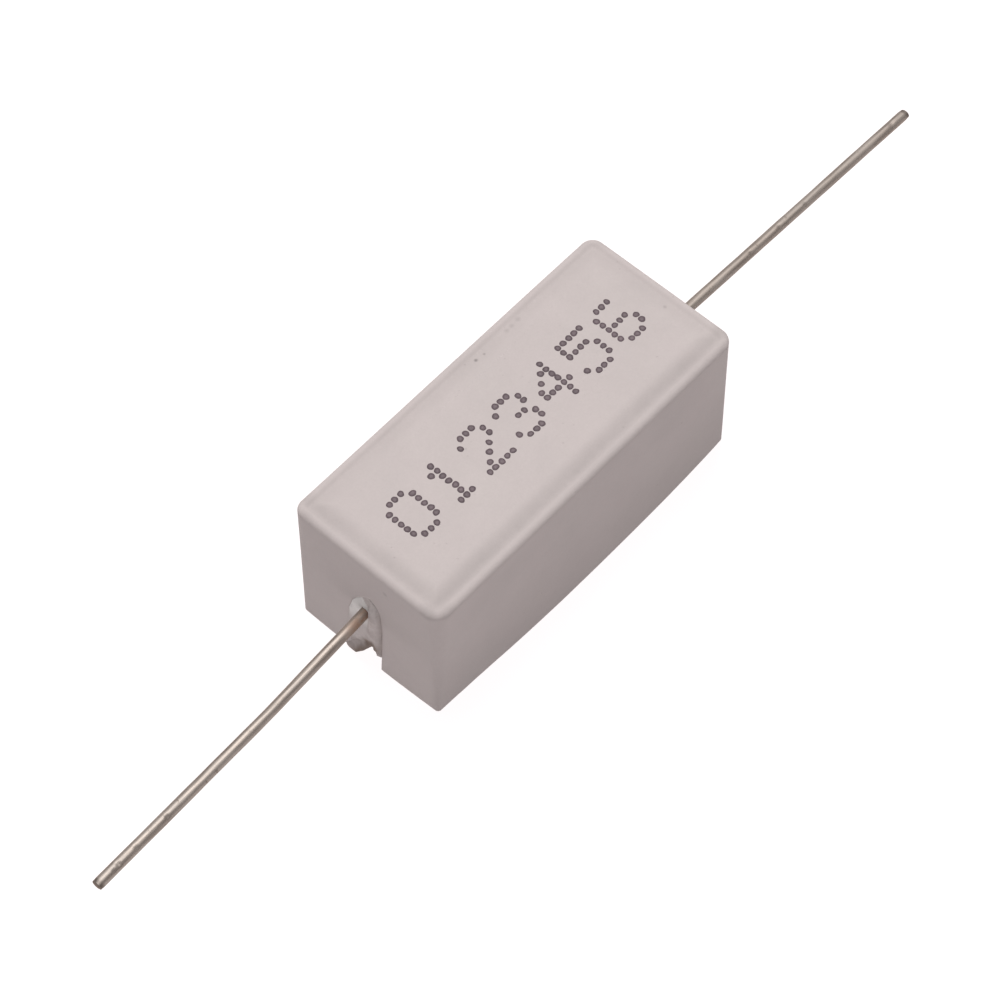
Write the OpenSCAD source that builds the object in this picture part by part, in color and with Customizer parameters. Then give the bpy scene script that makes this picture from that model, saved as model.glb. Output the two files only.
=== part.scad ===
// Axial wirewound power resistor in a trough-shaped ceramic case.
// The case lies open side down and is filled with cement. The winding on its
// rod, with a cup pressed on each end, is buried in the cement, and one wire
// lead leaves through the notch in each end wall.
// Units: millimetres. Origin: centre of the base. +X runs along the body and
// the leads, +Z up.

/* [Case] */
// Length of the ceramic case
case_l = 22; // [21.4:0.1:26]
// Width of the ceramic case
case_w = 9.6; // [9.4:0.1:12]
// Height of the ceramic case
case_h = 9.7; // [9.6:0.1:12]
// Thickness of the four side walls
wall = 1.4; // [1.2:0.05:1.5]
// Thickness of the closed top
top_t = 1.45; // [1.2:0.05:1.6]
// Plan radius of the four upright corners
corner_r = 0.85; // [0.7:0.05:1.1]
// Radius that rounds the top edges
edge_r = 0.5; // [0.3:0.05:0.6]
// Plan radius of the corners inside the trough
inner_r = 0.6; // [0.3:0.05:0.9]
// Distance of the shallow pressed line from the edge of the top face
line_in = 0.95; // [0.9:0.05:1.3]
// Depth of the shallow pressed line
line_d = 0.05; // [0.02:0.01:0.1]
// Width of the shallow pressed line
line_w = 0.5; // [0.3:0.05:0.7]

/* [End notches] */
// Width of the notch in each end wall
notch_w = 2.25; // [1.8:0.05:2.6]
// Height of the crown of the notch above the base
notch_top = 6.35; // [6.1:0.05:6.6]
// Sideways place of the notches, seen from the centre line
notch_y = 0.12; // [-0.2:0.02:0.2]

/* [Cement] */
// Height of the underside of the cement plug in each notch
plug_z = 2.2; // [1.4:0.1:2.6]
// How far the plug stands out of the end wall
plug_out = 0.3; // [0.1:0.05:0.5]

/* [Element] */
// Height of the element and of the leads above the base
axis_z = 5; // [4.95:0.05:5.05]
// Diameter of the ceramic rod that carries the winding
rod_d = 4; // [3.4:0.1:4]
// Length of the ceramic rod
rod_l = 16.6; // [15.4:0.1:16.8]
// Wall of the pressed end cups
cup_t = 0.35; // [0.3:0.05:0.4]
// Depth of the cups over the rod
cup_l = 2.8; // [2.2:0.1:3.2]
// Diameter of the resistance wire
wire_d = 0.4; // [0.3:0.05:0.4]
// Turns of resistance wire between the cups
turns = 14; // [8:1:16]

/* [Leads] */
// Diameter of the leads
lead_d = 0.58; // [0.5:0.02:0.8]
// Reach of the near lead from the centre of the body
near_reach = 30; // [24:0.5:50]
// Reach of the far lead from the centre of the body
far_reach = 31.1; // [24:0.1:50]
// Sideways angle at which the near lead leaves the body, in degrees
near_angle = 3; // [2.5:0.5:3]
// Bend that turns the near lead partly back, in degrees
near_back = 1.6; // [1.4:0.2:1.6]
// Distance of that bend from the centre of the body
near_bend_x = 17.6; // [14:0.1:20]
// Sideways place of the near lead's weld on its cup
near_weld = 0.17; // [0:0.01:0.3]
// Sideways angle at which the far lead leaves the body, in degrees
far_angle = 0.7; // [0.5:0.05:2.5]
// Slight bend that turns the far lead further aside, in degrees
far_more = 0.8; // [0.7:0.1:0.9]
// Distance of that bend from the centre of the body
far_bend_x = 12.4; // [12:0.1:16]
// Sideways place of the far lead's weld on its cup
far_weld = 0.04; // [0:0.01:0.3]

/* [Hidden] */
$fn = 64;

hl = case_l / 2;
hw = case_w / 2;
in_hl = hl - wall;                      // inner half length of the trough
in_hw = hw - wall;                      // inner half width of the trough
in_top = case_h - top_t;                // ceiling of the trough
notch_r = notch_w / 2;
notch_cz = notch_top - notch_r;         // centre of the notch's round crown
rod_r = rod_d / 2;
cup_r = rod_r + cup_t;                  // outer radius of the cups
cup_x0 = rod_l / 2 - cup_l;             // open rim of the cups
cup_x1 = rod_l / 2 + cup_t;             // closed end of the cups
lead_r = lead_d / 2;
weld_r = lead_r + 0.18;                 // upset bead where a lead meets its cup
weld_l = 0.3;
gap = 0.03;                             // room between the wire and what it lies on
coil_r = rod_r + wire_d / 2 + gap;      // radius of the winding's centre line
rim_r = cup_r + wire_d / 2 + gap;       // the same where it lies on a cup
ride = 0.5;                             // length of the climb onto a cup
tail = 0.6;                             // length that lies on a cup
line_R = (line_w * line_w / 4 + line_d * line_d) / (2 * line_d);
nose_R = 1.5;                           // side radius of the plug's proud part

// ---------- ceramic case ----------
module plan(l, w, r) {
    union() {
        square([l - 2 * r, w], center = true);
        square([l, w - 2 * r], center = true);
        for (sx = [-1, 1], sy = [-1, 1])
            translate([sx * (l / 2 - r), sy * (w / 2 - r)]) circle(r);
    }
}

// Upright slice of a corner, from its axis outwards, rounded at the top
module corner_slice() {
    union() {
        square([corner_r, case_h - edge_r]);
        square([corner_r - edge_r, case_h]);
        translate([corner_r - edge_r, case_h - edge_r]) circle(edge_r);
    }
}

// Section of a slab across its rounded top edges
module slab_section(w) {
    union() {
        translate([-w / 2, 0]) square([w, case_h - edge_r]);
        translate([-w / 2 + edge_r, 0]) square([w - 2 * edge_r, case_h]);
        for (s = [-1, 1])
            translate([s * (w / 2 - edge_r), case_h - edge_r]) circle(edge_r);
    }
}

module case_block() {
    rotate([90, 0, 90])
        linear_extrude(case_l - 2 * corner_r, center = true) slab_section(case_w);
    rotate([90, 0, 0])
        linear_extrude(case_w - 2 * corner_r, center = true) slab_section(case_l);
    for (sx = [-1, 1], sy = [-1, 1])
        translate([sx * (hl - corner_r), sy * (hw - corner_r), 0])
            rotate_extrude() intersection() {
                corner_slice();
                square([corner_r, case_h]);
            }
}

// Shallow line pressed round the top face
module top_line() {
    lx = hl - line_in;
    ly = hw - line_in;
    translate([0, 0, case_h - line_d + line_R]) {
        for (s = [-1, 1]) {
            translate([0, s * ly, 0]) rotate([0, 90, 0])
                cylinder(r = line_R, h = 2 * lx, center = true);
            translate([s * lx, 0, 0]) rotate([90, 0, 0])
                cylinder(r = line_R, h = 2 * ly, center = true);
        }
        for (sx = [-1, 1], sy = [-1, 1])
            translate([sx * lx, sy * ly, 0]) sphere(line_R);
    }
}

// Outline of a notch, seen along the body, down to z = z0
module notch_outline(z0) {
    union() {
        translate([notch_y, notch_cz]) circle(notch_r);
        translate([notch_y - notch_r, z0]) square([notch_w, notch_cz - z0]);
    }
}

module trough() {
    translate([0, 0, -1])
        linear_extrude(in_top + 1) plan(2 * in_hl, 2 * in_hw, inner_r);
}

module ceramic_case() {
    color("#d9d2ce") difference() {
        case_block();
        trough();
        rotate([90, 0, 90])
            linear_extrude(case_l + 2, center = true) notch_outline(-1);
        top_line();
    }
}

// ---------- element ----------
module core_rod() {
    color("#efeae2") translate([0, 0, axis_z]) rotate([0, 90, 0])
        cylinder(d = rod_d, h = rod_l, center = true);
}

// Half section of a cup pressed over the rod's +X end
module cup_section() {
    difference() {
        union() {
            translate([0, cup_x0]) square([cup_r, cup_x1 - cup_x0 - 0.25]);
            translate([0, cup_x1 - 0.3]) square([cup_r - 0.25, 0.3]);
            translate([cup_r - 0.25, cup_x1 - 0.25]) intersection() {
                circle(0.25);
                square(0.25);
            }
        }
        translate([-1, cup_x0 - 1]) square([rod_r + 1, rod_l / 2 - cup_x0 + 1]);
    }
}

module cup() {
    translate([0, 0, axis_z]) rotate([0, 90, 0]) rotate_extrude() cup_section();
}

module end_cap_near() { color("#b7b9bb") mirror([1, 0, 0]) cup(); }
module end_cap_far() { color("#b7b9bb") cup(); }

// ---------- resistance winding ----------
// One round wire: it starts on a cup, drops to the rod, runs as an even coil
// and climbs onto the other cup.
wind_x = 2 * cup_x0 + 2 * tail;         // whole run along the rod
seg = 18;                               // steps in a turn
sides = 6;                              // sides of the wire's section
steps = turns * seg;
function ease(t) = t <= 0 ? 0 : t >= 1 ? 1 : t * t * (3 - 2 * t);
function wx(i) = -wind_x / 2 + wind_x * i / steps;
function wr(x) = coil_r + (rim_r - coil_r) * ease((abs(x) - (cup_x0 - ride - wire_d)) / ride);
function wpt(i) = let (x = wx(i), r = wr(x), a = 360 * i / seg)
    [x, r * cos(a), r * sin(a)];
function unit(v) = v / norm(v);
function ring(i) = let (
        a = wpt(max(0, i - 1)), b = wpt(min(steps, i + 1)),
        t = unit(b - a), p = wpt(i),
        n = unit([0, p[1], p[2]] - t * ([0, p[1], p[2]] * t)),
        m = cross(t, n))
    [for (k = [0 : sides - 1]) let (u = 360 * (k + 0.5) / sides)
        p + wire_d / 2 * (cos(u) * n + sin(u) * m)];
wire_pts = [for (i = [0 : steps]) each ring(i)];
wire_faces = concat(
    [[for (k = [0 : sides - 1]) k]],
    [for (i = [0 : steps - 1], k = [0 : sides - 1]) let (k2 = (k + 1) % sides)
        [i * sides + k, (i + 1) * sides + k, (i + 1) * sides + k2, i * sides + k2]],
    [[for (k = [sides - 1 : -1 : 0]) steps * sides + k]]);

module resistance_winding() {
    color("#a9835a") translate([0, 0, axis_z]) polyhedron(wire_pts, wire_faces);
}

// ---------- leads ----------
// Each lead is butt-welded to its cup a little off centre and leaves at a
// slight sideways angle. The near lead bends gently back further out, in two
// small steps, and the far lead turns once just outside the body. Each step is
// mitred so that the round wire runs on without a seam.

// A straight length along +X from the origin
module run(r, l) { rotate([0, 90, 0]) cylinder(r = r, h = l); }

// Root of a lead that leaves towards +X and -Y at angle a: weld bead and a
// straight length l of wire
module lead_root(y0, a, l) {
    translate([cup_x1, y0, 0]) run(weld_r, weld_l);
    translate([cup_x1 + 0.1, y0, 0]) rotate([0, 0, -a]) run(lead_r, l);
}

// Everything beyond (way = 1) or before (way = -1) the place p, square to
// the heading of angle a
module side_of(p, a, way) {
    translate([p[0], p[1], 0]) rotate([0, 0, -a])
        translate([way > 0 ? 0 : -60, -2, -2]) cube([60, 4, 4]);
}

step_l = 1.6;                           // length between the two small steps
near_am = near_angle - near_back / 2;   // angle between the steps
near_a2 = near_angle - near_back;       // angle of the outer length
near_s = (near_bend_x - cup_x1 - 0.1) / cos(near_angle);
p1 = [near_bend_x, near_weld - near_s * sin(near_angle)];
p2 = p1 + step_l * [cos(near_am), -sin(near_am)];
near_end = (near_reach - p2[0]) / cos(near_a2);

far_a2 = far_angle + far_more;          // angle of the far lead's free length
far_s = (far_bend_x - cup_x1 - 0.1) / cos(far_angle);
p3 = [far_bend_x, far_weld - far_s * sin(far_angle)];
far_end = (far_reach - p3[0]) / cos(far_a2);

module lead_far() {
    color("#b9b2ab") translate([0, 0, axis_z]) {
        intersection() {
            lead_root(far_weld, far_angle, far_s + 0.5);
            side_of(p3, (far_angle + far_a2) / 2, -1);
        }
        intersection() {
            translate([p3[0], p3[1], 0]) rotate([0, 0, -far_a2])
                translate([-0.5, 0, 0]) run(lead_r, far_end + 0.5);
            side_of(p3, (far_angle + far_a2) / 2, 1);
        }
    }
}

module lead_near() {
    color("#b9b2ab") translate([0, 0, axis_z]) mirror([1, 0, 0]) {
        intersection() {
            lead_root(near_weld, near_angle, near_s + 0.5);
            side_of(p1, (near_angle + near_am) / 2, -1);
        }
        intersection() {
            translate([p1[0], p1[1], 0]) rotate([0, 0, -near_am])
                translate([-0.5, 0, 0]) run(lead_r, step_l + 1);
            side_of(p1, (near_angle + near_am) / 2, 1);
            side_of(p2, (near_am + near_a2) / 2, -1);
        }
        intersection() {
            translate([p2[0], p2[1], 0]) rotate([0, 0, -near_a2])
                translate([-0.5, 0, 0]) run(lead_r, near_end + 0.5);
            side_of(p2, (near_am + near_a2) / 2, 1);
        }
    }
}

// ---------- cement ----------
// Room that the buried element takes in the cement, as steps along X
module element_room() {
    translate([0, 0, axis_z]) {
        run2(-cup_x1, cup_x1, cup_r);
        run2(-cup_x0, cup_x0, coil_r + wire_d / 2 + gap);
        for (s = [-1, 1]) {
            a = cup_x0 - ride - 2 * wire_d;
            b = cup_x0 + tail + wire_d;
            translate([s * (a + b) / 2, 0, 0]) rotate([0, 90, 0])
                cylinder(r = rim_r + wire_d / 2 + gap, h = b - a, center = true);
        }
    }
}
module run2(x0, x1, r) { translate([x0, 0, 0]) run(r, x1 - x0); }

// Side view of the plug in the +X notch: flush at the crown, proud below it
module plug_side() {
    difference() {
        union() {
            translate([in_hl - 0.2, plug_z]) square([wall + 0.2, notch_top - plug_z]);
            translate([hl + plug_out - nose_R, plug_z + 1.2]) circle(nose_R);
        }
        translate([0, plug_z - 5]) square([case_l, 5]);
    }
}

module plug() {
    intersection() {
        rotate([90, 0, 90]) linear_extrude(case_l) notch_outline(0);
        translate([0, case_w / 2, 0]) rotate([90, 0, 0])
            linear_extrude(case_w) plug_side();
    }
}

module cement_fill() {
    color("#cfccc7") difference() {
        union() {
            linear_extrude(in_top) plan(2 * in_hl, 2 * in_hw, inner_r);
            plug();
            mirror([1, 0, 0]) plug();
        }
        element_room();
        // the leads pass straight through to the notches
        translate([0, 0, axis_z]) {
            lead_root(far_weld, far_angle, 5);
            mirror([1, 0, 0]) lead_root(near_weld, near_angle, 5);
        }
    }
}

ceramic_case();
cement_fill();
core_rod();
resistance_winding();
end_cap_near();
end_cap_far();
lead_near();
lead_far();
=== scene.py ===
import math
import bpy
import numpy as np
from mathutils import Matrix, Vector


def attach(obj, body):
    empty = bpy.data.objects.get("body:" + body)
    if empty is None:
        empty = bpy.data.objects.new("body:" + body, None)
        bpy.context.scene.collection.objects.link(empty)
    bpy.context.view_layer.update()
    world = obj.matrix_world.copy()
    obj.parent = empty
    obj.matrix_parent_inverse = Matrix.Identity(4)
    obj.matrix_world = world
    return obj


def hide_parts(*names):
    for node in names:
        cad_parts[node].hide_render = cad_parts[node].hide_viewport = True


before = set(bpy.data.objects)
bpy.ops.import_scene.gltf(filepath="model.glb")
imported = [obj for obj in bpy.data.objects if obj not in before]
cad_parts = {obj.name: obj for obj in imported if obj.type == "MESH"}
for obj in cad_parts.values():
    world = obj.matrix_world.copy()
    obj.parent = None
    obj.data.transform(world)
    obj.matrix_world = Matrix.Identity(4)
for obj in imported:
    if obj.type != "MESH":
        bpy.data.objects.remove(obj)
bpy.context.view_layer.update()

MM = 0.001

# ------------------------------------------------------------------ camera
AZ, EL, ROLL = math.radians(-48.131), math.radians(59.2068), math.radians(0.2276)
DIST, FOCAL = 148.2727, 2936.26          # mm, and pixels of a 1000 wide image
back = Vector((math.sin(AZ) * math.cos(EL), -math.cos(AZ) * math.cos(EL), math.sin(EL)))
right0 = Vector((math.cos(AZ), math.sin(AZ), 0))
up0 = back.cross(right0)
right = math.cos(ROLL) * right0 + math.sin(ROLL) * up0
up = -math.sin(ROLL) * right0 + math.cos(ROLL) * up0
aim = Vector((0, 0, 4.85)) - 0.8506 * right0 - 1.4551 * up0
cam_data = bpy.data.cameras.new("Camera")
cam_data.sensor_fit = "HORIZONTAL"
cam_data.sensor_width = 36.0
cam_data.lens = 36.0 * FOCAL / 1000
cam_data.clip_start = 0.01
cam_data.clip_end = 10
cam = bpy.data.objects.new("Camera", cam_data)
bpy.context.scene.collection.objects.link(cam)
rot = Matrix((right, up, back)).transposed().to_4x4()
cam.matrix_world = Matrix.Translation((aim + DIST * back) * MM) @ rot
bpy.context.scene.camera = cam

# ------------------------------------------------------------------ helpers
def link(o):
    bpy.context.scene.collection.objects.link(o)
    return o


def mesh_object(name, verts_mm, faces, smooth=True):
    me = bpy.data.meshes.new(name)
    me.from_pydata((np.asarray(verts_mm, float) * MM).tolist(), [], [list(map(int, f)) for f in faces])
    me.update()
    if smooth:
        me.polygons.foreach_set("use_smooth", [True] * len(me.polygons))
    return link(bpy.data.objects.new(name, me))


def step(a, b, x):
    t = np.clip((x - a) / (b - a), 0, 1)
    return t * t * (3 - 2 * t)


def smin(a, b, k):
    h = np.clip(0.5 + 0.5 * (b - a) / k, 0, 1)
    return b * (1 - h) + a * h - k * h * (1 - h)


def smax(a, b, k):
    return -smin(-a, -b, k)


def wobble(x, y, z, scale, seed):
    """Smooth, repeatable noise of about -1 to 1 with features of about scale mm."""
    rng = np.random.default_rng(seed)
    s = 0
    for _ in range(9):
        k = rng.normal(size=3)
        k = k / np.linalg.norm(k) * (2 * math.pi / scale) * rng.uniform(0.6, 1.6)
        s = s + np.sin(k[0] * x + k[1] * y + k[2] * z + rng.uniform(0, 6.28))
    return s / 4.5


# ------------------------------------------------------------------ sizes, mm
HL, HW, H = 11.0, 4.8, 9.7
IN_L, IN_W, IN_TOP = 9.6, 3.4, 8.25
EDGE = 0.37
NY, NR, NTOP = 0.12, 1.125, 6.35
NCZ = NTOP - NR
LZ = 5.0
LEAD_R = 0.29


def warp(x, y, z):
    """Undoes the fired body's slight warp, which grows towards its open side."""
    t = np.clip(1 - z / H, 0, 1.1)
    u = np.clip((x / HL + 1) / 2, 0, 1)
    v = np.clip((y / HW + 1) / 2, 0, 1)
    dx = t * (0.05 * (1 - u) * (1 - v) - 0.17 * (1 - u) * v)
    dy = t * (0.20 * (1 - u) * (1 - v) + 0.04 * u * (1 - v) - 0.30 * (1 - u) * v)
    tb = t ** 1.3
    bx = np.clip(1 - (x / HL) ** 2, 0, 1)
    by = np.clip(1 - (y / HW) ** 2, 0, 1)
    bw = np.clip(1 - (x / HL) ** 4, 0, 1) * step(-10.5, -3.0, x)
    dy = dy - tb * (0.19 * bx + 0.12 * bw) * (1 - v) ** 2 + 0.08 * tb * bx * v ** 2
    dx = dx - 0.09 * tb * by * (1 - u) ** 2
    return x - dx, y - dy, z


def plan_d(x, y, l, w, r):
    qx = np.abs(x) - (l - r)
    qy = np.abs(y) - (w - r)
    return np.hypot(np.maximum(qx, 0), np.maximum(qy, 0)) + np.minimum(np.maximum(qx, qy), 0) - r


def round_and(a, b, r):
    """Intersection of two half spaces a and b with a round edge of radius r."""
    return np.hypot(np.maximum(a + r, 0), np.maximum(b + r, 0)) + np.minimum(np.maximum(a, b) + r, 0) - r


def rim_profile(t):
    """Height of the top face at t mm in from its edge: a raised lip and the pressed line inside it."""
    fall = -0.115 * (1 - step(0.45, 1.55, t))
    lip = 0.085 * (1 - step(0.32, 0.66, t))
    return fall + lip


def eased(table):
    """A smooth function through (z, y) pairs, as dense samples for np.interp."""
    z, y = np.array(table, float).T
    zz = np.linspace(z[0], z[-1], 800)
    yy = np.interp(zz, z, y)
    k = np.hanning(41)
    k /= k.sum()
    yy = np.convolve(np.pad(yy, 20, mode="reflect", reflect_type="odd"), k, "valid")
    return zz, yy


# the near notch leans a little: its two sides as (height, sideways place)
NOTCH_L = eased([(-2, 1.26), (0, 1.25), (3.5, 1.20), (4.4, 1.15), (5.2, 0.96), (5.9, 0.56), (6.4, 0.05), (6.62, -0.30), (7.6, -2.2)])
NOTCH_R = eased([(-2, -0.70), (0, -0.79), (1.9, -0.90), (3.3, -0.96), (4.35, -1.0), (5.32, -0.95), (6.1, -0.80), (6.45, -0.55),
                 (6.62, -0.30), (7.6, 1.6)])


# the crease across the near plug, as (sideways place, height)
CREASE = ((-1.1, -0.77, -0.47, -0.17, 0.11, 0.38, 0.72, 1.2), (2.30, 2.48, 2.60, 2.56, 2.36, 2.04, 1.68, 1.30))


def notch_d(x, y, z, side):
    """Distance to the upright arch of a notch, seen along the body."""
    if side < 0:
        return smax((y - np.interp(z, *NOTCH_L)) * 0.93, (np.interp(z, *NOTCH_R) - y) * 0.93, 0.25)
    return np.hypot(y - NY, np.maximum(z - NCZ, 0)) - NR


def sd_case(x, y, z):
    x, y, z = warp(x, y, z)
    # the four corners are not quite alike
    u = np.clip((x / HL + 1) / 2, 0, 1)
    v = np.clip((y / HW + 1) / 2, 0, 1)
    corner = 0.85 * (1 - u) * (1 - v) + 0.64 * (1 - u) * v + 0.82 * u * (1 - v) + 0.76 * u * v
    d2 = plan_d(x, y, HL, HW, 0.20 + (corner - 0.20) * np.clip(z / 9.2, 0, 1))
    swell = 0.012 * wobble(x, y, z, 9.0, 3)
    top = z - (H + rim_profile(-d2) + 0.006 * wobble(x, y, z, 5.0, 5))
    body = round_and(d2 + swell, top, EDGE)
    body = round_and(body, -z + 0.012 * wobble(x, y, z, 3.0, 8), 0.14)
    cav = np.maximum(plan_d(x, y, IN_L, IN_W, 0.6), z - IN_TOP)
    cav = smax(plan_d(x, y, IN_L, IN_W, 0.6), z - IN_TOP, 0.2)
    out = smax(body, -cav, 0.10)
    for s in (-1, 1):
        cut = np.maximum(notch_d(x, y, z, s), 8.8 - s * x)
        out = smax(out, -cut, 0.09)
    return out


def plug_face_near(y, z):
    """How far the near plug's face stands out from the end wall's plane, mm."""
    # on the left it lies back a little under the crown
    left = -0.05 * step(5.2, 6.5, z) + 0.04 * (1 - step(4.0, 4.9, z))
    # on the right the cement stands a little proud, with a crisp edge beside the wire
    proud = 0.20 * (1 - step(5.5, 6.5, z)) * step(-1.05, -0.66, y)
    edge = step(-0.30, -0.22, y)
    high = step(3.7, 4.5, z)
    off = proud * (1 - edge * high) + left * edge * high
    off = off - 0.10 * step(-0.3, 1.0, y) * edge * (1 - high)
    # beside the notch's right wall it shrank back
    off = off - 0.09 * (1 - step(0.03, 0.16, y - np.interp(z, *NOTCH_R))) * step(0.8, 2.0, z)
    # below the ledge it falls back under a crease, and comes forward again lower down on the left
    ledge = np.interp(y, *CREASE)
    under = (1 - step(ledge - 0.16, ledge + 0.02, z)) * step(-0.62, -0.30, y)
    off = off - 0.16 * under
    off = off + 0.32 * (1 - step(ledge - 1.2, ledge - 0.2, z)) * step(-0.30, 0.30, y) * (1 - 0.4 * step(0.6, 1.2, y))
    # its foot is rounded off
    return off - 0.12 * (1 - step(0.05, 0.45, z))


def plug_face_far(y, z):
    off = -0.75 * step(5.1, 6.35, z)
    off = off + 0.16 * step(2.0, 3.2, z) * (1 - step(4.2, 5.4, z))
    return off - 0.25 * (1 - step(1.9, 2.6, z))


def gap_near(x, y, z):
    """The arch-shaped hollow under the near plug."""
    # the left flank leans up to an apex beside the right one, which is steep
    left = y * 0.81 + (z - 1.46) * 0.587
    right = -(y + 0.79 + 0.24 * (1 - step(1.15, 1.90, z))) * 0.997 + z * 0.085
    top = z - 1.98
    g = smax(smax(left, right, 0.14), top, 0.20)
    return smax(g, x + 9.75, 0.2)


def gap_far(x, y, z):
    arch = np.hypot(y - NY, np.maximum(z - 1.0, 0) * 0.8) - 0.72
    return smax(arch, 9.85 - x, 0.25)


def capsule_x(x, y, z, x0, x1, r):
    rr = np.hypot(y, z - LZ)
    return np.maximum(rr - r, np.maximum(x0 - x, x - x1))


def tan_deg(a):
    return math.tan(math.radians(a))


# centre lines of the leads: (distance from the middle of the body, sideways place)
NEAR_Y = [(0.0, 0.17), (8.75, 0.17)]
for far_to, ang in ((17.6, 3.0), (19.199, 2.25), (31.0, 1.5)):
    NEAR_Y.append((far_to, NEAR_Y[-1][1] - (far_to - NEAR_Y[-1][0]) * tan_deg(ang)))
FAR_Y = [(0.0, 0.04), (8.75, 0.04)]
for far_to, ang in ((12.4, 0.7), (32.0, 1.5)):
    FAR_Y.append((far_to, FAR_Y[-1][1] - (far_to - FAR_Y[-1][0]) * tan_deg(ang)))


def lead_y(x):
    """Centre line of the leads, sideways place at x."""
    x = np.asarray(x, float)
    near = np.interp(-x, [q[0] for q in NEAR_Y], [q[1] for q in NEAR_Y])
    far = np.interp(x, [q[0] for q in FAR_Y], [q[1] for q in FAR_Y])
    return np.where(x < 0, near, far)


def sd_cement(x, y, z):
    xw, yw, zw = x, y, z
    x, y, z = warp(x, y, z)
    skin = 0.03 * wobble(x, y, z, 0.9, 21) + 0.02 * wobble(x, y, z, 0.4, 22)
    base = -z + 0.05 + skin - 0.03 * step(2.6, 3.4, np.abs(y))
    core = smax(smax(plan_d(x, y, IN_L, IN_W, 0.6), z - IN_TOP, 0.1), base, 0.08)
    out = core
    for s, face in ((-1, plug_face_near), (1, plug_face_far)):
        arch = notch_d(x, y, z, s)
        n = s * x - (HL + face(y, z) + 0.8 * skin)
        p = smax(np.maximum(arch - 0.03, 8.9 - s * x), n * 0.8, 0.04)
        if s < 0:
            p = smax(p, -gap_near(x, y, z), 0.12)
            # a smear of cement on the foot of the wall, left of the notch
            q = np.sqrt(((x + 10.98) / 0.13) ** 2 + ((y - 1.22) / 0.42) ** 2 + ((z - 0.22) / 0.44) ** 2) * 0.2 - 0.2
            p = smin(p, np.maximum(q, x + 10.985), 0.06)
        else:
            p = smax(p, -gap_far(x, y, z), 0.2)
        p = smax(p, -z + 0.05 + skin, 0.08)
        out = smin(out, p, 0.05)
    # room of the buried element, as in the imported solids
    room = np.minimum(capsule_x(xw, yw, zw, -8.65, 8.65, 2.35), capsule_x(xw, yw, zw, -5.5, 5.5, 2.46))
    for s in (-1, 1):
        room = np.minimum(room, capsule_x(xw, yw, zw, min(s * 4.2, s * 6.5), max(s * 4.2, s * 6.5), 2.81))
    wire = np.hypot(yw - lead_y(xw), zw - LZ) - (LEAD_R - 0.015)
    wire = np.maximum(wire, 8.6 - np.abs(xw))
    out = np.maximum(out, -room)
    r = np.hypot(yw - lead_y(xw), zw - LZ)
    return np.maximum(out, -wire)


# ------------------------------------------------------------------ meshing
def lattice(*runs):
    """Grid lines: runs of (start, end, spacing)."""
    out = []
    for a, b, s in runs:
        n = max(1, int(round((b - a) / s)))
        out.append(np.linspace(a, b, n, endpoint=False))
    out.append(np.array([runs[-1][1]]))
    return np.concatenate(out)


def mirror_runs(runs):
    """runs on the positive side, mirrored to the negative one."""
    neg = [(-b, -a, s) for a, b, s in reversed(runs)]
    return lattice(*(neg + list(runs)))


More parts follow.
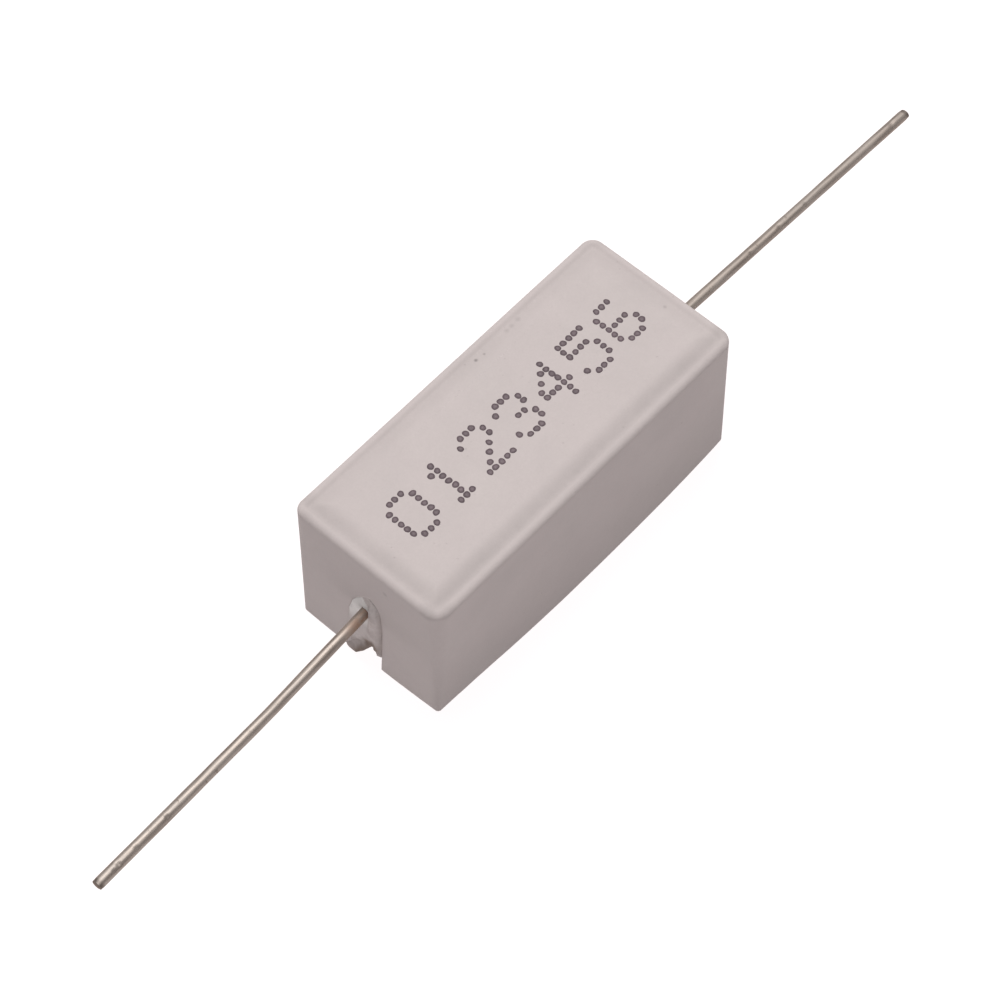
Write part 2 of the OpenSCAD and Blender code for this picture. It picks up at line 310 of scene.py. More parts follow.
def surface_nets(f, xs, ys, zs, polish=4):
    X, Y, Z = np.meshgrid(xs, ys, zs, indexing="ij")
    F = f(X, Y, Z)
    ins = F < 0
    nx, ny, nz = F.shape
    acc = np.zeros((nx - 1, ny - 1, nz - 1, 3))
    cnt = np.zeros((nx - 1, ny - 1, nz - 1))
    G = np.stack([X, Y, Z], -1)

    def sl(o, n):
        return slice(o, o + n - 1)
    for axis in range(3):
        other = [a for a in range(3) if a != axis]
        for o1 in (0, 1):
            for o2 in (0, 1):
                off_a = [0, 0, 0]
                off_a[other[0]], off_a[other[1]] = o1, o2
                off_b = list(off_a)
                off_b[axis] = 1
                A = tuple(sl(o, n) for o, n in zip(off_a, (nx, ny, nz)))
                B = tuple(sl(o, n) for o, n in zip(off_b, (nx, ny, nz)))
                fa, fb = F[A], F[B]
                m = ins[A] != ins[B]
                t = np.where(m, fa / np.where(m, fa - fb, 1), 0)
                p = G[A] + t[..., None] * (G[B] - G[A])
                acc += p * m[..., None]
                cnt += m
    has = cnt > 0
    index = np.full(has.shape, -1)
    index[has] = np.arange(has.sum())
    V = acc[has] / cnt[has][:, None]
    quads = []
    # x edges
    m = ins[:-1, 1:-1, 1:-1] != ins[1:, 1:-1, 1:-1]
    i, j, k = np.nonzero(m)
    j, k = j + 1, k + 1
    q = np.stack([index[i, j - 1, k - 1], index[i, j, k - 1], index[i, j, k], index[i, j - 1, k]], -1)
    flip = ~ins[i, j, k]
    q[flip] = q[flip][:, ::-1]
    quads.append(q)
    # y edges
    m = ins[1:-1, :-1, 1:-1] != ins[1:-1, 1:, 1:-1]
    i, j, k = np.nonzero(m)
    i, k = i + 1, k + 1
    q = np.stack([index[i - 1, j, k - 1], index[i - 1, j, k], index[i, j, k], index[i, j, k - 1]], -1)
    flip = ~ins[i, j, k]
    q[flip] = q[flip][:, ::-1]
    quads.append(q)
    # z edges
    m = ins[1:-1, 1:-1, :-1] != ins[1:-1, 1:-1, 1:]
    i, j, k = np.nonzero(m)
    i, j = i + 1, j + 1
    q = np.stack([index[i - 1, j - 1, k], index[i, j - 1, k], index[i, j, k], index[i - 1, j, k]], -1)
    flip = ~ins[i, j, k]
    q[flip] = q[flip][:, ::-1]
    quads.append(q)
    Q = np.concatenate(quads)
    e = 1e-3
    start = V.copy()
    for _ in range(polish):
        x, y, z = V.T
        d = f(x, y, z)
        g = np.stack([(f(x + e, y, z) - f(x - e, y, z)), (f(x, y + e, z) - f(x, y - e, z)),
                      (f(x, y, z + e) - f(x, y, z - e))], -1) / (2 * e)
        n2 = np.maximum((g * g).sum(-1), 0.25)
        move = np.clip(d / n2, -0.06, 0.06)[:, None] * g
        V = V - move
    far = np.linalg.norm(V - start, axis=1) > 0.14
    V[far] = start[far]
    return V, Q


# ------------------------------------------------------------------ materials
def new_material(name):
    m = bpy.data.materials.new(name)
    m.use_nodes = True
    nt = m.node_tree
    nt.nodes.clear()
    out = nt.nodes.new("ShaderNodeOutputMaterial")
    bsdf = nt.nodes.new("ShaderNodeBsdfPrincipled")
    nt.links.new(bsdf.outputs[0], out.inputs[0])
    tc = nt.nodes.new("ShaderNodeTexCoord")
    return m, nt, bsdf, tc.outputs["Object"]


class Net:
    """Short hands for building a node tree."""
    def __init__(self, nt, coord):
        self.nt, self.coord = nt, coord

    def node(self, kind, **inputs):
        n = self.nt.nodes.new(kind)
        for k, v in inputs.items():
            self.put(n, k, v)
        return n

    def put(self, n, key, v):
        s = n.inputs[key]
        if hasattr(v, "is_linked") or isinstance(v, bpy.types.NodeSocket):
            self.nt.links.new(v, s)
        else:
            s.default_value = v

    def noise(self, scale, detail=3.0, rough=0.55, vec=None, distortion=0.0):
        n = self.nt.nodes.new("ShaderNodeTexNoise")
        self.nt.links.new(vec or self.coord, n.inputs["Vector"])
        n.inputs["Scale"].default_value = scale
        n.inputs["Detail"].default_value = detail
        n.inputs["Roughness"].default_value = rough
        n.inputs["Distortion"].default_value = distortion
        return n.outputs[0]

    def voronoi(self, scale, vec=None, randomness=1.0):
        n = self.nt.nodes.new("ShaderNodeTexVoronoi")
        self.nt.links.new(vec or self.coord, n.inputs["Vector"])
        n.inputs["Scale"].default_value = scale
        n.inputs["Randomness"].default_value = randomness
        return n.outputs["Distance"]

    def stretch(self, sx, sy, sz):
        n = self.nt.nodes.new("ShaderNodeMapping")
        self.nt.links.new(self.coord, n.inputs["Vector"])
        n.inputs["Scale"].default_value = (sx, sy, sz)
        return n.outputs[0]

    def math(self, op, a, b=None, c=None, clamp=False):
        n = self.nt.nodes.new("ShaderNodeMath")
        n.operation = op
        n.use_clamp = clamp
        for i, v in enumerate((a, b, c)):
            if v is None:
                continue
            if isinstance(v, (int, float)):
                n.inputs[i].default_value = v
            else:
                self.nt.links.new(v, n.inputs[i])
        return n.outputs[0]

    def ramp(self, fac, *stops, ease="LINEAR"):
        n = self.nt.nodes.new("ShaderNodeValToRGB")
        n.color_ramp.interpolation = ease
        self.nt.links.new(fac, n.inputs[0])
        el = n.color_ramp.elements
        while len(el) < len(stops):
            el.new(0.5)
        for e, (p, c) in zip(el, stops):
            e.position = p
            if isinstance(c, (int, float)):
                c = (c, c, c)
            e.color = (*c, 1)
        return n.outputs[0]

    def span(self, v, a, b, lo=0.0, hi=1.0, smooth=True):
        n = self.nt.nodes.new("ShaderNodeMapRange")
        n.interpolation_type = "SMOOTHSTEP" if smooth else "LINEAR"
        self.nt.links.new(v, n.inputs["Value"])
        n.inputs["From Min"].default_value = a
        n.inputs["From Max"].default_value = b
        n.inputs["To Min"].default_value = lo
        n.inputs["To Max"].default_value = hi
        return n.outputs[0]

    def mix(self, fac, a, b, blend="MIX"):
        n = self.nt.nodes.new("ShaderNodeMix")
        n.data_type = "RGBA"
        n.blend_type = blend
        n.clamp_factor = True
        for key, v in ((0, fac), (6, a), (7, b)):
            s = n.inputs[key]
            if isinstance(v, (int, float)):
                s.default_value = v
            elif isinstance(v, tuple):
                s.default_value = (*v, 1)
            else:
                self.nt.links.new(v, s)
        return n.outputs[2]

    def axis(self, which, vec=None):
        n = self.nt.nodes.new("ShaderNodeSeparateXYZ")
        self.nt.links.new(vec or self.coord, n.inputs[0])
        return n.outputs[which]

    def near_point(self, p_mm, r_mm, soft=0.5):
        """1 at the point p, 0 outside radius r."""
        n = self.nt.nodes.new("ShaderNodeVectorMath")
        n.operation = "DISTANCE"
        self.nt.links.new(self.coord, n.inputs[0])
        n.inputs[1].default_value = tuple(c * MM for c in p_mm)
        return self.span(n.outputs["Value"], r_mm * MM * soft, r_mm * MM, 1.0, 0.0)

    def bump(self, height, distance, strength=1.0, normal=None):
        n = self.nt.nodes.new("ShaderNodeBump")
        self.nt.links.new(height, n.inputs["Height"])
        n.inputs["Distance"].default_value = distance
        n.inputs["Strength"].default_value = strength
        if normal is not None:
            self.nt.links.new(normal, n.inputs["Normal"])
        return n.outputs[0]

    def link(self, a, b):
        self.nt.links.new(a, b)


def ceramic_case_material():
    m, nt, bsdf, obj = new_material("case_ceramic")
    g = Net(nt, obj)
    cloud = g.noise(170, 3, 0.5)
    patch = g.noise(520, 4, 0.6)
    grain = g.noise(9000, 5, 0.65)
    coarse = g.noise(3200, 4, 0.6)
    tint = g.ramp(cloud, (0.32, (0.492, 0.444, 0.434)), (0.5, (0.504, 0.452, 0.443)), (0.68, (0.508, 0.459, 0.447)))
    shade = g.math("ADD", g.span(patch, 0.3, 0.7, -0.014, 0.014), g.span(grain, 0.25, 0.75, -0.030, 0.030, smooth=False))
    shade = g.math("ADD", shade, g.span(coarse, 0.3, 0.7, -0.012, 0.012))
    # fine pores and a few grey specks
    pores = g.span(g.voronoi(2300), 0.05, 0.16, 1.0, 0.0)
    pores = g.math("MULTIPLY", pores, g.span(g.noise(700, 2, 0.5), 0.52, 0.66))
    specks = g.span(g.voronoi(640), 0.025, 0.07, 1.0, 0.0)
    specks = g.math("MULTIPLY", specks, g.span(g.noise(260, 2, 0.5), 0.56, 0.64))
    shade = g.math("SUBTRACT", shade, g.math("MULTIPLY", pores, 0.05))
    shade = g.math("SUBTRACT", shade, g.math("MULTIPLY", specks, 0.16))
    for p, r, k in SPECKS:
        shade = g.math("SUBTRACT", shade, g.math("MULTIPLY", g.near_point(p, r, 0.2), k))
    level = g.math("ADD", shade, 1.0)
    n = nt.nodes.new("ShaderNodeCombineColor")
    for i in range(3):
        g.link(level, n.inputs[i])
    col = g.mix(1.0, tint, n.outputs[0], "MULTIPLY")
    # the pressed line round the top is greyer: partly its own grey tone, partly painted shade of its valley, deeper
    # along the -Y and -X sides where the slope faces away from the light
    x, y, z = g.axis(0), g.axis(1), g.axis(2)
    line = None
    for v, sign, half, depth in ((y, 1, 0.0048, 0.150), (y, -1, 0.0048, 0.055), (x, 1, 0.011, 0.110), (x, -1, 0.011, 0.050)):
        t = g.math("MULTIPLY_ADD", v, float(sign), half)
        f = g.math("MULTIPLY", g.span(t, 0.00020, 0.00070, 0.05, 1.0), g.span(t, 0.00075, 0.00165, 1.0, 0.0))
        f = g.math("MULTIPLY", f, depth)
        line = f if line is None else g.math("MAXIMUM", line, f)
    line = g.math("MULTIPLY", line, g.span(z, 0.0090, 0.0096))
    line = g.math("MULTIPLY", line, g.span(g.noise(420, 3, 0.55), 0.3, 0.7, 0.8, 1.2))
    # painted shade: the foot of the side away from the wide notch edge is darkened, standing in for the floor's
    # contact shadow
    painted_foot_shade = g.math("MULTIPLY", g.span(z, 0.0, 0.0065, 0.10, 0.0), g.span(y, -0.0046, -0.0040, 1.0, 0.0))
    k = g.math("SUBTRACT", 1.0, g.math("ADD", line, painted_foot_shade))
    n = nt.nodes.new("ShaderNodeCombineColor")
    for i in range(3):
        g.link(k, n.inputs[i])
    col = g.mix(1.0, col, n.outputs[0], "MULTIPLY")
    # painted shade: the bottom 1.1 mm at the open rim is greyer in patches, standing in for the shade near the floor
    painted_rim_shade = g.math("MULTIPLY", g.span(z, 0.0, 0.0011, 1.0, 0.0), g.span(g.noise(900, 3, 0.6), 0.4, 0.75))
    col = g.mix(g.math("MULTIPLY", painted_rim_shade, 0.22), col, (0.36, 0.33, 0.31))
    g.link(col, bsdf.inputs["Base Color"])
    g.link(g.span(coarse, 0.3, 0.7, 0.80, 0.92), bsdf.inputs["Roughness"])
    bsdf.inputs["Specular IOR Level"].default_value = 0.32
    b = g.bump(g.noise(1500, 3, 0.5), 0.000012, 0.35)
    b = g.bump(grain, 0.000010, 0.45, b)
    b = g.bump(g.math("MULTIPLY", pores, -1.0), 0.00003, 0.5, b)
    g.link(b, bsdf.inputs["Normal"])
    return m


def cement_material():
    m, nt, bsdf, obj = new_material("cement")
    g = Net(nt, obj)
    cloud = g.noise(700, 4, 0.6)
    grit = g.noise(7000, 5, 0.7)
    sand = g.voronoi(5200)
    tint = g.ramp(cloud, (0.3, (0.475, 0.424, 0.412)), (0.55, (0.510, 0.462, 0.450)), (0.75, (0.535, 0.492, 0.480)))
    shade = g.math("ADD", g.span(grit, 0.25, 0.75, 0.90, 1.08, smooth=False), g.span(sand, 0.0, 0.5, -0.05, 0.03))
    n = nt.nodes.new("ShaderNodeCombineColor")
    for i in range(3):
        g.link(shade, n.inputs[i])
    col = g.mix(1.0, tint, n.outputs[0], "MULTIPLY")
    # paler cement beside the wire, partly its own tone and partly painted light for its upward-leaning face; darker
    # brown cement low on the plug, partly brown cement and partly painted shade under the ledge, round the hollow,
    # beside the notch wall and at the foot
    for name, tone, depth in (("pale_and_lit", (0.74, 0.722, 0.708), 1.0), ("brown_and_shade", (0.180, 0.132, 0.105), 1.0)):
        a = nt.nodes.new("ShaderNodeAttribute")
        a.attribute_name = name
        f = g.math("MULTIPLY", a.outputs["Fac"], g.span(cloud, 0.3, 0.7, 0.85 * depth, depth))
        col = g.mix(f, col, tone)
    g.link(col, bsdf.inputs["Base Color"])
    g.link(g.span(grit, 0.3, 0.7, 0.80, 0.96), bsdf.inputs["Roughness"])
    bsdf.inputs["Specular IOR Level"].default_value = 0.28
    b = g.bump(g.noise(2600, 4, 0.6), 0.00003, 0.5)
    b = g.bump(grit, 0.00002, 0.6, b)
    g.link(b, bsdf.inputs["Normal"])
    return m


def lead_material():
    m, nt, bsdf, obj = new_material("tinned_lead")
    g = Net(nt, obj)
    x = g.axis(0)
    drawn = g.noise(1, 5, 0.65, g.stretch(260, 9000, 9000))
    dull = g.noise(1, 4, 0.6, g.stretch(420, 2600, 2600))
    dots = g.noise(2600, 5, 0.7)
    col = g.ramp(dull, (0.28, (0.35, 0.300, 0.265)), (0.5, (0.425, 0.378, 0.342)), (0.72, (0.48, 0.437, 0.403)))
    lines = g.span(drawn, 0.52, 0.66)
    col = g.mix(g.math("MULTIPLY", lines, 0.40), col, (0.20, 0.165, 0.14))
    spots = g.span(dots, 0.60, 0.70)
    col = g.mix(g.math("MULTIPLY", spots, 0.45), col, (0.16, 0.115, 0.085))
    # brown where the wire leaves the cement, fading over the first millimetres
    ax = g.math("ABSOLUTE", x)
    exit_band = g.span(ax, 0.0114, 0.0133, 1.0, 0.0)
    ragged = g.span(g.noise(1, 4, 0.6, g.stretch(1100, 2400, 2400)), 0.22, 0.55)
    below = g.span(g.axis(1), -0.00016, 0.00020, 1.0, 0.18)
    stain = g.math("MULTIPLY", g.math("MULTIPLY", exit_band, ragged), below)
    # the cut ends are dark
    tip = g.math("MAXIMUM", g.span(x, -0.02962, -0.02988, 0.0, 1.0), g.span(x, 0.03074, 0.03098, 0.0, 1.0))
    col = g.mix(g.math("MULTIPLY", tip, g.span(dots, 0.3, 0.6, 0.40, 0.70)), col, (0.125, 0.098, 0.085))
    col = g.mix(g.math("MULTIPLY", stain, 0.92), col, (0.33, 0.195, 0.130))
    g.link(col, bsdf.inputs["Base Color"])
    g.link(g.math("MULTIPLY_ADD", stain, -0.70, 1.0), bsdf.inputs["Metallic"])
    bsdf.inputs["Specular Tint"].default_value = (0.60, 0.50, 0.43, 1)
    rough = g.math("ADD", g.span(dull, 0.3, 0.7, -0.04, 0.05), g.math("MULTIPLY", stain, 0.12))
    rough = g.math("ADD", rough, g.span(x, -0.009, 0.012, 0.595, 0.66))
    rough = g.math("ADD", rough, g.math("MULTIPLY", spots, 0.10))
    g.link(rough, bsdf.inputs["Roughness"])
    b = g.bump(drawn, 0.000012, 0.5)
    b = g.bump(dots, 0.000010, 0.4, b)
    g.link(b, bsdf.inputs["Normal"])
    return m


def ink_material():
    m, nt, bsdf, obj = new_material("print_ink")
    g = Net(nt, obj)
    a = nt.nodes.new("ShaderNodeAttribute")
    a.attribute_name = "ring"
    ring = a.outputs["Fac"]
    blot = g.noise(5200, 4, 0.6)
    slow = g.noise(600, 2, 0.5)
    col = g.ramp(ring, (0.0, (0.175, 0.142, 0.150)), (0.42, (0.150, 0.118, 0.128)), (0.70, (0.092, 0.066, 0.076)),
                 (0.90, (0.120, 0.092, 0.102)), (1.0, (0.26, 0.225, 0.225)))
    k = g.math("ADD", g.span(blot, 0.3, 0.7, 0.84, 1.18), g.span(slow, 0.35, 0.65, -0.06, 0.06))
    n = nt.nodes.new("ShaderNodeCombineColor")
    for i in range(3):
        g.link(k, n.inputs[i])
    col = g.mix(1.0, col, n.outputs[0], "MULTIPLY")
    g.link(col, bsdf.inputs["Base Color"])
    g.link(g.span(blot, 0.3, 0.7, 0.70, 0.88), bsdf.inputs["Roughness"])
    bsdf.inputs["Specular IOR Level"].default_value = 0.3
    g.link(g.bump(blot, 0.000008, 0.5), bsdf.inputs["Normal"])
    return m


def rod_material():
    m, nt, bsdf, obj = new_material("rod_ceramic")
    g = Net(nt, obj)
    grain = g.noise(6500, 4, 0.6)
    cloud = g.noise(400, 3, 0.5)
    col = g.ramp(cloud, (0.3, (0.76, 0.73, 0.66)), (0.7, (0.82, 0.79, 0.73)))
    col = g.mix(g.span(grain, 0.5, 0.75, 0.0, 0.25), col, (0.62, 0.58, 0.52))
    g.link(col, bsdf.inputs["Base Color"])
    g.link(g.span(grain, 0.3, 0.7, 0.72, 0.88), bsdf.inputs["Roughness"])
    g.link(g.bump(grain, 0.00001, 0.5), bsdf.inputs["Normal"])
    return m


def winding_material():
    m, nt, bsdf, obj = new_material("resistance_wire")
    g = Net(nt, obj)
    n1 = g.noise(3800, 4, 0.6)
    n2 = g.noise(900, 3, 0.5)
    col = g.ramp(n2, (0.3, (0.42, 0.30, 0.20)), (0.7, (0.52, 0.40, 0.28)))
    col = g.mix(g.span(n1, 0.5, 0.75, 0.0, 0.5), col, (0.28, 0.19, 0.13))
    g.link(col, bsdf.inputs["Base Color"])
    bsdf.inputs["Metallic"].default_value = 1.0
    g.link(g.span(n1, 0.3, 0.7, 0.28, 0.45), bsdf.inputs["Roughness"])
    g.link(g.bump(n1, 0.000006, 0.5), bsdf.inputs["Normal"])
    return m


def cap_material():
    m, nt, bsdf, obj = new_material("cap_steel")
    g = Net(nt, obj)
    n1 = g.noise(1, 4, 0.6, g.stretch(500, 4200, 4200))
    n2 = g.noise(1500, 3, 0.5)
    col = g.ramp(n2, (0.3, (0.46, 0.46, 0.46)), (0.7, (0.58, 0.58, 0.57)))
    col = g.mix(g.span(n1, 0.52, 0.75, 0.0, 0.4), col, (0.30, 0.29, 0.28))
    g.link(col, bsdf.inputs["Base Color"])
    bsdf.inputs["Metallic"].default_value = 1.0
    g.link(g.span(n1, 0.3, 0.7, 0.26, 0.42), bsdf.inputs["Roughness"])
    g.link(g.bump(n1, 0.000006, 0.5), bsdf.inputs["Normal"])
    return m


# small grey specks that sit on the case: place (mm), radius (mm), depth of tone
SPECKS = [((1.25, 3.92, 9.7), 0.17, 0.62), ((1.80, 3.86, 9.7), 0.13, 0.50), ((2.30, 3.93, 9.7), 0.09, 0.26),
          ((10.0, -0.98, 9.7), 0.16, 0.22), ((-11.0, -1.35, 8.4), 0.22, 0.16),
          ((3.6, 3.98, 9.7), 0.22, 0.16), ((4.0, 4.0, 9.7), 0.22, 0.16), ((4.5, 4.03, 9.7), 0.24, 0.14)]


def assign(o, mat):
    o.data.materials.clear()
    o.data.materials.append(mat)


# ------------------------------------------------------------------ case and cement
xs = mirror_runs([(0.0, 8.4, 0.3), (8.4, 9.7, 0.12), (9.7, 11.35, 0.07)])
ys = mirror_runs([(0.0, 1.5, 0.09), (1.5, 3.3, 0.2), (3.3, 3.5, 0.1), (3.5, 5.15, 0.07)])
zs = lattice((-0.2, 0.3, 0.07), (0.3, 6.7, 0.13), (6.7, 9.0, 0.23), (9.0, 9.2, 0.1), (9.2, 9.85, 0.06))
V, Q = surface_nets(sd_case, xs, ys, zs)
V[:, 2] = np.maximum(V[:, 2], 0.0)
case = mesh_object("case_shell", V, Q)
assign(case, ceramic_case_material())
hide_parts("ceramic_case")
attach(case, "root")

xs = mirror_runs([(0.0, 8.4, 0.35), (8.4, 9.6, 0.12), (9.6, 11.5, 0.07)])
ys = mirror_runs([(0.0, 1.5, 0.07), (1.5, 3.7, 0.2)])
zs = lattice((-0.2, 2.6, 0.07), (2.6, 6.7, 0.11), (6.7, 8.4, 0.24))
V, Q = surface_nets(sd_cement, xs, ys, zs)
V[:, 2] = np.maximum(V[:, 2], 0.0)
cement = mesh_object("cement_body", V, Q)
cx, cy, cz = (V + 0.0).T
near_end = step(-10.0, -10.4, cx)
# paler patch beside the wire under the crown: partly the cement's own tone, partly painted light for the face that
# leans up
pale_and_lit = step(-0.20, -0.10, cy - 0.6 * np.maximum(cz - 5.5, 0)) * (1 - step(1.1, 1.2, cy)) * step(3.3, 4.4, cz)
fold = np.interp(cy, *CREASE)
# lower plug browner and darker: partly brown cement, partly painted shade of the undercut lump
brown_and_shade = (1 - step(0.4, 2.1, cz + 0.5 * cy)) * step(-0.50, -0.15, cy) * 0.38 * (1 - 0.45 * step(0.6, 1.2, cy))
# darker foot of the plug: partly brown cement, partly painted shade near the floor
foot = (1 - step(0.15, 0.9, cz)) * step(-0.5, -0.1, cy) * 0.38
# painted shadow: a dark line just under the crease's ledge
line = np.exp(-((cz - fold + 0.18) / 0.34) ** 2) * (1 - 0.80 * step(-0.20, 0.40, cy)) * step(-0.90, -0.60, cy) * 1.60
# painted shadow in the groove beside the notch's right wall
painted_wall_shadow = (1 - step(0.02, 0.15, cy - np.interp(cz, *NOTCH_R))) * step(1.0, 2.2, cz) * (1 - step(5.3, 6.2, cz)) * 0.28
# painted shade round the edge of the hollow under the plug
painted_rim_shade = (1 - step(0.10, 0.45, gap_near(cx, cy, cz))) * step(-0.85, -0.55, cy) * (1 - step(0.4, 1.1, cy)) * 0.75
for name, val in (("pale_and_lit", pale_and_lit * near_end), ("brown_and_shade", np.clip(brown_and_shade + foot + line + painted_rim_shade + painted_wall_shadow, 0, 0.95) * near_end)):
    att = cement.data.attributes.new(name, "FLOAT", "POINT")
    att.data.foreach_set("value", val)
assign(cement, cement_material())
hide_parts("cement_fill")
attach(cement, "root")


# ------------------------------------------------------------------ leads
def smooth_path(pts, n):
    """Points along a polyline with its corners eased, evenly spaced."""
    pts = np.asarray(pts, float)
    seg = np.linalg.norm(np.diff(pts, axis=0), axis=1)
    s = np.concatenate([[0], np.cumsum(seg)])
    u = np.linspace(0, s[-1], n)
    p = np.stack([np.interp(u, s, pts[:, k]) for k in range(3)], -1)
    k = np.hanning(13)
    k /= k.sum()
    pad = np.concatenate([np.repeat(p[:1], 6, 0) + np.outer(np.arange(-6, 0), p[1] - p[0]), p,
                          np.repeat(p[-1:], 6, 0) + np.outer(np.arange(1, 7), p[-1] - p[-2])])
    return u, np.stack([np.convolve(pad[:, c], k, "valid") for c in range(3)], -1)


def make_lead(name, node, pts, dents, seed, tip_turn):
    n, sides = 620, 36
    u, P = smooth_path(pts, n)
    total = u[-1]
    # the root and the tip get more rings
    extra = np.concatenate([np.linspace(0, 0.5, 10), np.linspace(total - 0.55, total, 26)])
    uu = np.unique(np.concatenate([u[(u > 0.5) & (u < total - 0.55)], extra]))
    P = np.stack([np.interp(uu, u, P[:, c]) for c in range(3)], -1)
    T = np.gradient(P, uu, axis=0)
    T /= np.linalg.norm(T, axis=1)[:, None]
    up_ = np.array([0.0, 0.0, 1.0])
    rng = np.random.default_rng(seed)
    ang = np.linspace(0, 2 * math.pi, sides, endpoint=False)
    verts = []
    ph = rng.uniform(0, 6.28, 6)
    for i, (s, p, t) in enumerate(zip(uu, P, T)):
        b = np.cross(up_, t)
        b /= np.linalg.norm(b)
        c = np.cross(t, b)
        r = LEAD_R * (1 + 0.008 * np.sin(s * 1.3 + ph[0]) + 0.006 * np.sin(s * 3.1 + ph[1]))
        rad = np.full(sides, r)
        rad += 0.004 * np.sin(2 * ang + 0.4 * s + ph[2]) + 0.0025 * np.sin(3 * ang - 0.9 * s + ph[3])
        # weld bead against the cup
        rad += 0.17 * math.exp(-((s - 0.12) / 0.15) ** 2)
        for sd, ad, depth, ls, la in dents:
            da = (ang - ad + math.pi) % (2 * math.pi) - math.pi
            rad -= depth * math.exp(-((s - sd) / ls) ** 2) * np.exp(-(da / la) ** 2)
        # side cutters pinch the tip to a blunt wedge
        e = total - s
        k = 1 - step(0.0, 0.28, e)
        ya, za = np.cos(ang) * rad, np.sin(ang) * rad
        cy, sy = math.cos(tip_turn), math.sin(tip_turn)
        a1, a2 = ya * cy + za * sy, -ya * sy + za * cy
        a2 = a2 * (1 - 0.14 * k)
        a1 = a1 * (1 + 0.02 * k)
        ya, za = a1 * cy - a2 * sy, a1 * sy + a2 * cy
        verts.append(p + np.outer(ya, b) + np.outer(za, c))
    V = np.concatenate(verts)
    m = len(uu)
    faces = []
    for i in range(m - 1):
        for j in range(sides):
            j2 = (j + 1) % sides
            faces.append((i * sides + j, i * sides + j2, (i + 1) * sides + j2, (i + 1) * sides + j))
    # both ends are closed with a slightly domed cap
    for ring, way in ((0, -1), (m - 1, 1)):
        base = ring * sides
        last = base
        cen = V[base:base + sides].mean(0)
        t = T[ring] * way
        inner = []
        for kk, (sc, lift) in enumerate(((0.80, 0.022), (0.45, 0.036))):
            ringv = cen + (V[base:base + sides] - cen) * sc + t * lift
            st = len(V)
            V = np.concatenate([V, ringv])
            inner.append(st)
        st = len(V)
        V = np.concatenate([V, [cen + t * 0.04]])
        loops = [base] + inner
        for a, b2 in zip(loops[:-1], loops[1:]):
            for j in range(sides):
                j2 = (j + 1) % sides
                f = (a + j, a + j2, b2 + j2, b2 + j)
                faces.append(f if way > 0 else f[::-1])
        for j in range(sides):
            j2 = (j + 1) % sides
            f = (loops[-1] + j, loops[-1] + j2, st)
            faces.append(f if way > 0 else f[::-1])
    o = mesh_object(name, V, faces)
    # quads wind outwards when the path runs away from the body on either side
    assign(o, lead_mat)
    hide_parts(node)
    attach(o, "root")
    return o


lead_mat = lead_material()
NEAR = [(-x, float(lead_y(-x)), LZ) for x in (8.66, 8.75, 17.6, 19.199, 29.96)]
FAR = [(x, float(lead_y(x)), LZ) for x in (8.66, 8.75, 12.4, 31.06)]
near_dents = [(16.72, 1.0, 0.050, 0.12, 0.55), (18.8, 0.95, 0.036, 0.12, 0.55), (19.95, 1.15, 0.055, 0.13, 0.55),
              (20.3, 0.9, 0.035, 0.11, 0.5), (14.2, 1.6, 0.014, 0.5, 0.9), (9.6, 2.1, 0.012, 0.6, 0.8),
              (19.5, 4.5, 0.03, 0.25, 0.8), (5.6, 0.9, 0.010, 0.4, 0.7)]
far_dents = [(13.9, 2.25, 0.040, 0.12, 0.55), (11.8, 2.2, 0.040, 0.13, 0.55), (9.5, 2.25, 0.036, 0.13, 0.55),
             (16.8, 2.2, 0.014, 0.5, 0.9), (21.2, 1.6, 0.03, 0.2, 0.8), (6.2, 2.0, 0.010, 0.5, 0.8)]
wire_near = make_lead("wire_near", "lead_near", NEAR, near_dents, 41, 0.35)
wire_far = make_lead("wire_far", "lead_far", FAR, far_dents, 42, -0.5)

# ------------------------------------------------------------------ print
FONT = {
    "0": (".###.", "#...#", "#...#", "#...#", "#...#", "#...#", ".###."),
    "1": ("..#..", ".##..", "..#..", "..#..", "..#..", "..#..", ".###."),
    "2": (".###.", "#...#", "....#", "...#.", "..#..", ".#...", "#####"),
    "3": (".###.", "#...#", "....#", "..##.", "....#", "#...#", ".###."),
    "4": ("...#.", "..##.", ".#.#.", "#..#.", "#####", "...#.", "...#."),
    "5": ("#####", "#....", "####.", "....#", "....#", "#...#", ".###."),
    "6": (".###.", "#....", "#....", "####.", "#...#", "#...#", ".###."),
    "7": ("#####", "....#", "....#", "...#.", "..#..", "..#..", "..#.."),
}
DIGITS = "0123456"
X0, Y0 = -8.17, 1.35                     # first dot of the first digit
PX, PY, PC = 0.408, 0.394, 2.53          # dot pitch along and across, digit pitch


def top_height(x, y):
    """Height of the case's top face, found on its own surface."""
    z = np.full(np.shape(x), H + 0.0)
    for _ in range(4):
        d = sd_case(x, y, z)
        z = z - d
    return z


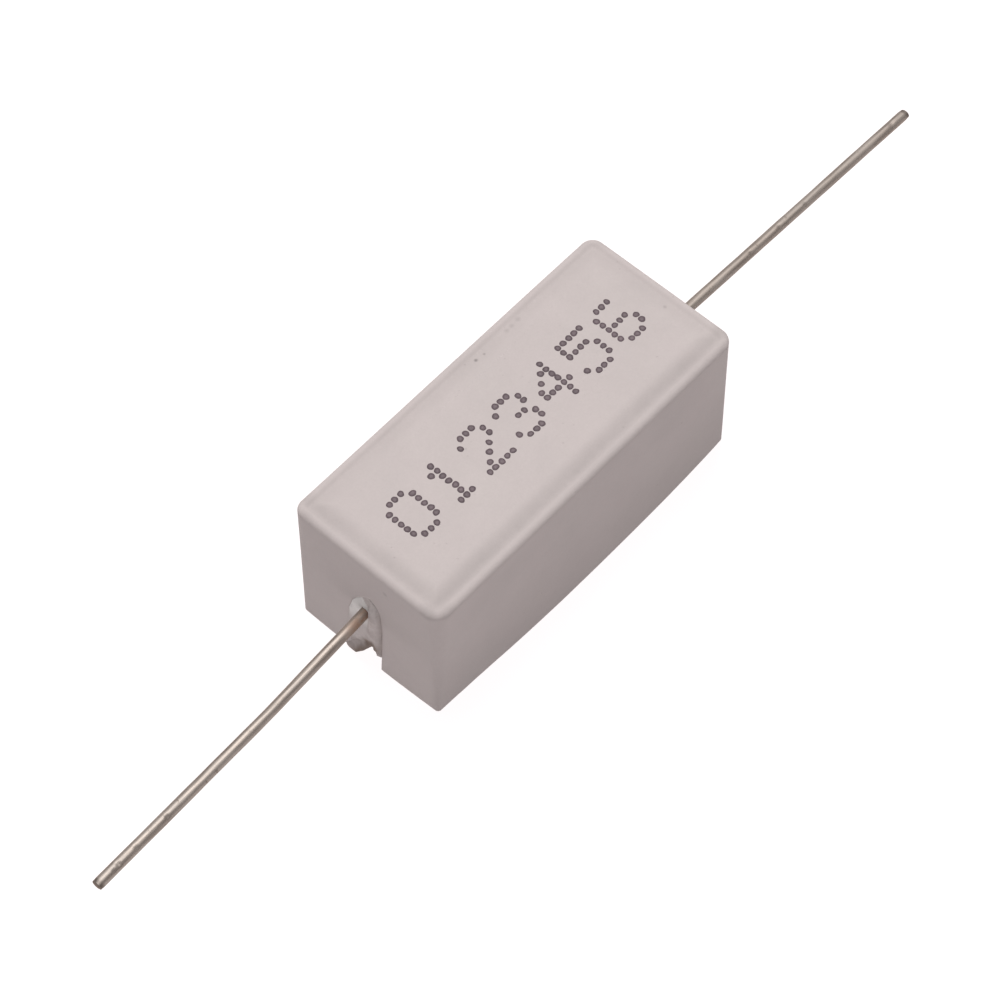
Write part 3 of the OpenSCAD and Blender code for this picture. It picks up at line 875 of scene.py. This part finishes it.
rng = np.random.default_rng(77)
dots = []
for ci, ch in enumerate(DIGITS):
    for row, line in enumerate(FONT[ch]):
        for colm, c in enumerate(line):
            if c == "#":
                dots.append((X0 + ci * PC + colm * PX + rng.normal(0, 0.014),
                             Y0 - row * PY + rng.normal(0, 0.012) - 0.05 * (ci % 2) * 0.3,
                             0.188 * rng.uniform(0.94, 1.06)))
verts, faces, ringv = [], [], []
SEG = 22
RINGS = ((0.0, 0.0095), (0.30, 0.0090), (0.52, 0.0100), (0.72, 0.0120), (0.88, 0.0090), (1.0, 0.0))
for di, (cx_, cy_, r) in enumerate(dots):
    ex = rng.uniform(0.94, 1.06)
    ph = rng.uniform(0, 6.28, 3)
    a = np.linspace(0, 2 * math.pi, SEG, endpoint=False)
    edge = 1 + 0.045 * np.sin(2 * a + ph[0]) + 0.035 * np.sin(3 * a + ph[1]) + 0.02 * np.sin(5 * a + ph[2])
    base = len(verts)
    lift = 0.0004 * (di % 5)
    z0 = top_height(np.array([cx_]), np.array([cy_]))[0]
    verts.append((cx_, cy_, z0 + RINGS[0][1] + lift))
    ringv.append(0.0)
    for q, hgt in RINGS[1:]:
        px_ = cx_ + r * q * edge * np.cos(a) * ex
        py_ = cy_ + r * q * edge * np.sin(a) / ex
        pz = top_height(px_, py_) + hgt + (lift if q < 1 else -0.004)
        for v in zip(px_, py_, pz):
            verts.append(v)
            ringv.append(q)
    for j in range(SEG):
        faces.append((base, base + 1 + j, base + 1 + (j + 1) % SEG))
    for k in range(len(RINGS) - 2):
        b0 = base + 1 + k * SEG
        b1 = b0 + SEG
        for j in range(SEG):
            j2 = (j + 1) % SEG
            faces.append((b0 + j, b1 + j, b1 + j2, b0 + j2))
    # underside, so that each dot is a closed film
    under = len(verts)
    verts.append((cx_, cy_, z0 - 0.006))
    ringv.append(0.0)
    b0 = base + 1 + (len(RINGS) - 2) * SEG
    for j in range(SEG):
        faces.append((b0 + (j + 1) % SEG, b0 + j, under))
marks = mesh_object("print_marks", verts, faces)
att = marks.data.attributes.new("ring", "FLOAT", "POINT")
att.data.foreach_set("value", ringv)
assign(marks, ink_material())
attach(marks, "root")

# ------------------------------------------------------------------ parts inside the cement
cap_mat = cap_material()
for node, mat in (("core_rod", rod_material()), ("resistance_winding", winding_material()),
                  ("end_cap_near", cap_mat), ("end_cap_far", cap_mat)):
    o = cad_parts[node]
    if len(o.material_slots) == 0:
        o.data.materials.append(mat)
    for s in o.material_slots:
        s.material = mat

# ------------------------------------------------------------------ floor and light
bpy.ops.mesh.primitive_plane_add(size=3.0, location=(0, 0, -0.00002))
floor = bpy.context.object
floor.name = "floor"
fm = bpy.data.materials.new("floor")
fm.use_nodes = True
fb = fm.node_tree.nodes["Principled BSDF"]
fb.inputs["Base Color"].default_value = (0.08, 0.08, 0.08, 1)
fb.inputs["Roughness"].default_value = 0.9
fb.inputs["Specular IOR Level"].default_value = 0.1
fb.inputs["Emission Color"].default_value = (1.0, 0.95, 0.955, 1)
tc = fm.node_tree.nodes.new("ShaderNodeTexCoord")
fg = Net(fm.node_tree, tc.outputs["Object"])
# the floor glows as a light table and lights the sides from below; its glow is dimmer close to the body's -Y side, a
# painted shadow standing in for the body's contact shadow
away = fg.node("ShaderNodeVectorMath")
away.operation = "DISTANCE"
fg.link(fg.stretch(0.55, 1.0, 1.0), away.inputs[0])
away.inputs[1].default_value = (0.001, -0.006, 0.0)
fg.link(fg.span(away.outputs["Value"], 0.004, 0.030, 1.0, 1.12), fb.inputs["Emission Strength"])
floor.data.materials.append(fm)

world = bpy.data.worlds.new("World")
bpy.context.scene.world = world
world.use_nodes = True
bg = world.node_tree.nodes["Background"]
bg.inputs[0].default_value = (1.0, 0.95, 0.95, 1)
bg.inputs[1].default_value = 0.18


def softbox(name, place, target, size, power, colour=(1, 1, 1)):
    d = bpy.data.lights.new(name, "AREA")
    d.shape = "SQUARE"
    d.size = size
    d.energy = power
    d.color = colour
    o = link(bpy.data.objects.new(name, d))
    o.location = place
    o.rotation_euler = (Vector(target) - Vector(place)).to_track_quat("-Z", "Y").to_euler()
    return o


softbox("softbox", (0.06, 0.085, 0.50), (0, 0, 0.005), 0.22, 2.80, (1.0, 0.99, 0.985))

scene = bpy.context.scene
scene.view_settings.view_transform = "Standard"
scene.view_settings.look = "None"
scene.view_settings.exposure = 0
scene.view_settings.gamma = 1
